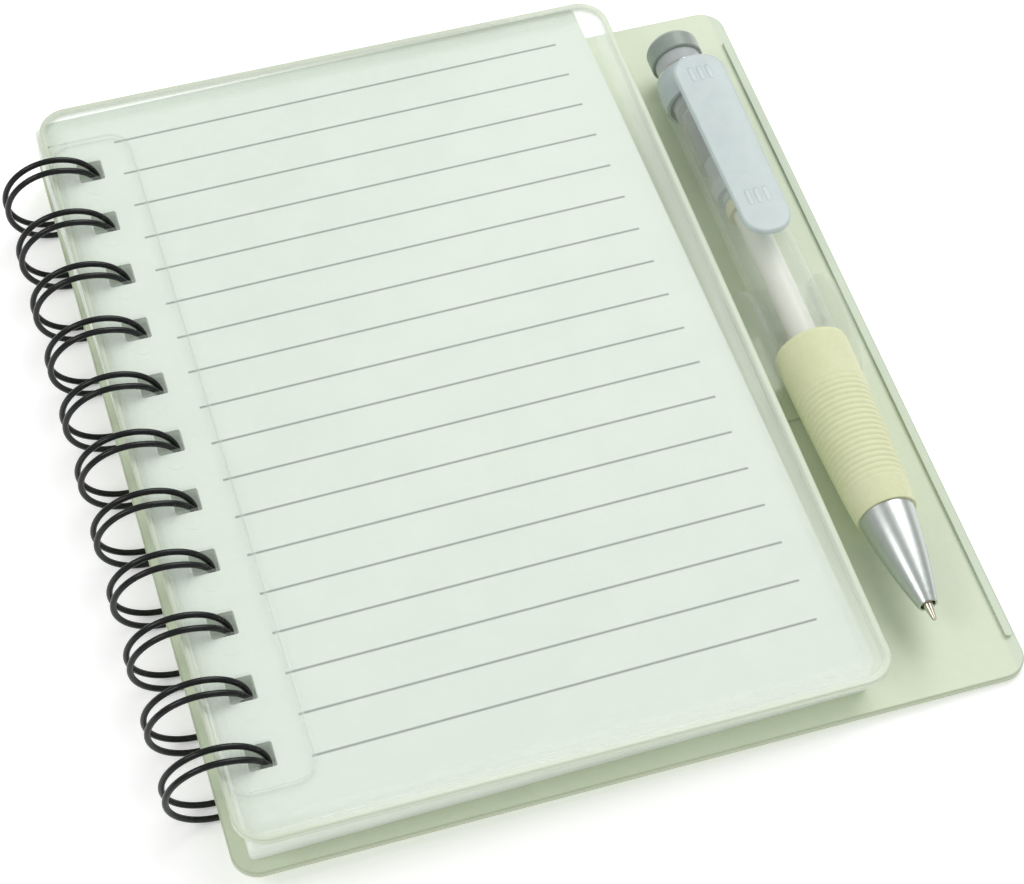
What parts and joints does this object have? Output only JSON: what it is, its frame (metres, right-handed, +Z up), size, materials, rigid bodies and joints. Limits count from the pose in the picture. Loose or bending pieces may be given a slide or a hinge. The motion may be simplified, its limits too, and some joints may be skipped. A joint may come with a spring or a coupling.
{
  "type": "pocket notebook with pen",
  "caption": "Wire-bound pocket notebook with a clear hinged front cover, ruled leaves and a wide cream back cover that carries a click pen in a clear cradle.",
  "frame": {"origin": "middle of the back cover's underside", "axes": "+Z up out of the closed notebook, +Y to the head of the page, +X away from the wire binding"},
  "size_m": [0.1453, 0.1582, 0.0223],
  "materials": {
    "clear_cover": "clear moulded sheet",
    "ruled_paper": "white paper with grey rules",
    "paper": "white paper",
    "cream_cover": "translucent cream",
    "black_wire": "gloss black",
    "clear_cradle": "clear",
    "clear_barrel": "clear",
    "cream_grip": "soft ribbed",
    "satin_metal": "satin silver",
    "blue_plastic": "pale blue translucent",
    "bright_metal": "bright",
    "grey_cap": "grey-green satin",
    "frosted_plastic": "frosted",
    "cream_plug": "cream",
    "white_tube": "white",
    "ink": "dark ink",
    "brass_point": "nickelled brass",
    "spring_steel": "bright wire"
  },
  "bodies": {
    "book": {"back_cover": "cream_cover", "lower_leaves": "paper", "binding_wire": "black_wire", "pen_cradle": "clear_cradle"},
    "leaves": {"upper_leaves": "paper", "first_leaf": "ruled_paper"},
    "cover": {"front_cover": "clear_cover"},
    "pen": {"pen_barrel": "clear_barrel", "grip_sleeve": "cream_grip", "nose_cone": "satin_metal", "clip_collar": "blue_plastic", "end_ring": "bright_metal", "cam_sleeve": "clear_barrel", "return_spring": "spring_steel"},
    "clip": {"pen_clip": "blue_plastic"},
    "button": {"push_button": "grey_cap", "plunger": "frosted_plastic"},
    "refill": {"cam_rotor": "frosted_plastic", "refill_plug": "cream_plug", "refill_tube": "white_tube", "ink_column": "ink", "refill_point": "brass_point", "writing_ball": "bright_metal"}
  },
  "joints": [
    {"name": "leaf_turn", "type": "hinge", "parent": "book", "child": "leaves", "pos_m": [-0.0676, 0, 0.0051], "axis": [0, -1, 0], "range_deg": [0, 180]},
    {"name": "cover_open", "type": "hinge", "parent": "leaves", "child": "cover", "pos_m": [-0.0676, 0, 0.0051], "axis": [0, -1, 0], "range_deg": [0, 180]},
    {"name": "pen_lift", "type": "slide", "parent": "book", "child": "pen", "axis": [0, 0, 1], "range_m": [0, 0.03]},
    {"name": "clip_flex", "type": "hinge", "parent": "pen", "child": "clip", "pos_m": [0.0534, 0.0547, 0.01685], "axis": [-1, 0, 0], "range_deg": [0, 5], "stiffness_Nm_per_rad": 0.4},
    {"name": "button_press", "type": "slide", "parent": "pen", "child": "button", "axis": [0, 1, 0], "range_m": [-0.001, 0.0046], "stiffness_N_per_m": 150},
    {"name": "refill_slide", "type": "slide", "parent": "pen", "child": "refill", "axis": [0, 1, 0], "range_m": [-0.001, 0.0046]}
  ],
  "couplings": [
    {"joint": "refill_slide", "follows": "button_press", "ratio": 1}
  ]
}
